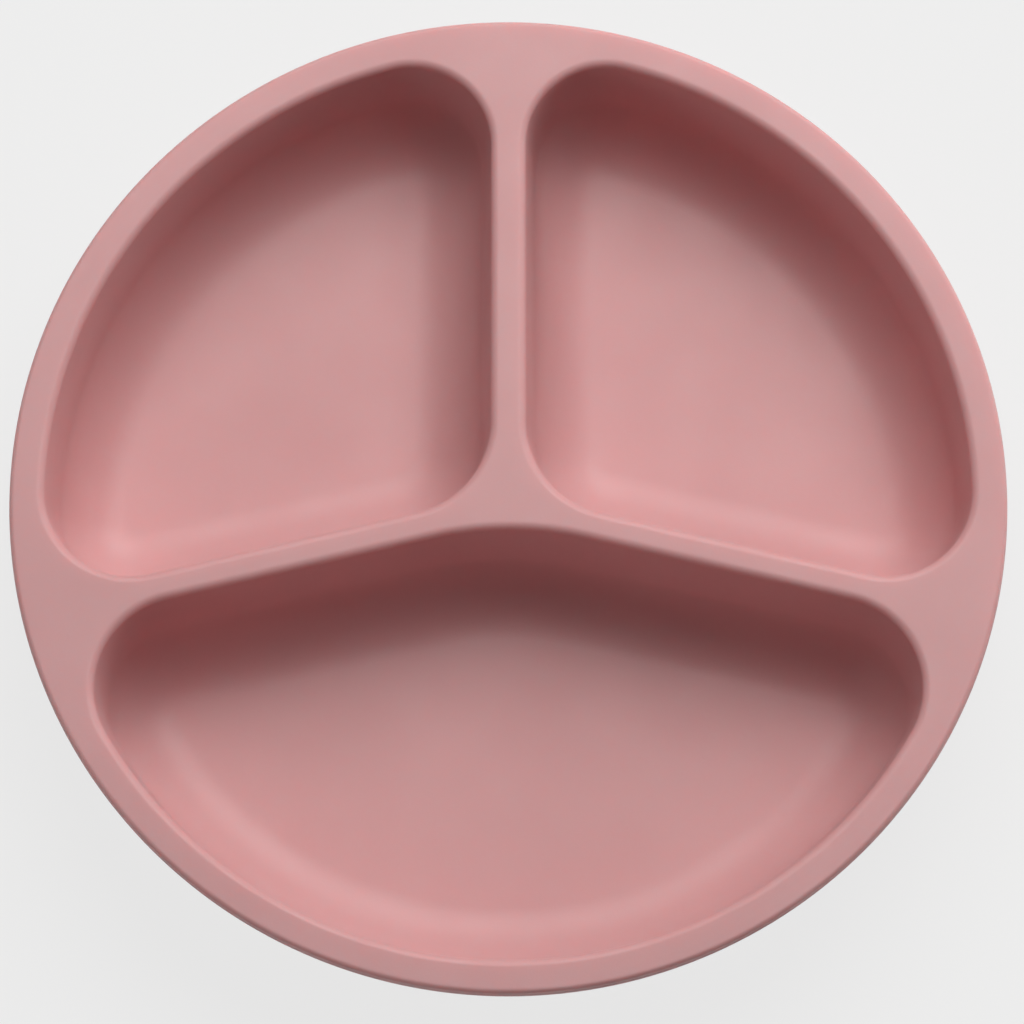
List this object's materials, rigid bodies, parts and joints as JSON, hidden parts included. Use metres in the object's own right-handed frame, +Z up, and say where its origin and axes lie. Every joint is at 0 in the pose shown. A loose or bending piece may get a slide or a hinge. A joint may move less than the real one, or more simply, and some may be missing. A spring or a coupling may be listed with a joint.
{
  "type": "divided suction plate",
  "caption": "Round moulded silicone plate for a small child, with deep rounded compartments, a Y-shaped divider and a flared suction foot underneath.",
  "frame": {"origin": "centre of the round footprint, at the height of the table that the plate stands on", "axes": "+Z up out of the compartments, +Y along the single straight bar of the divider, towards the side with the two small compartments, +X to the right"},
  "size_m": [0.19, 0.19, 0.038],
  "materials": {
    "silicone": "matte, slightly satin moulded silicone"
  },
  "bodies": {
    "root": {"suction_plate": "silicone"}
  },
  "joints": []
}
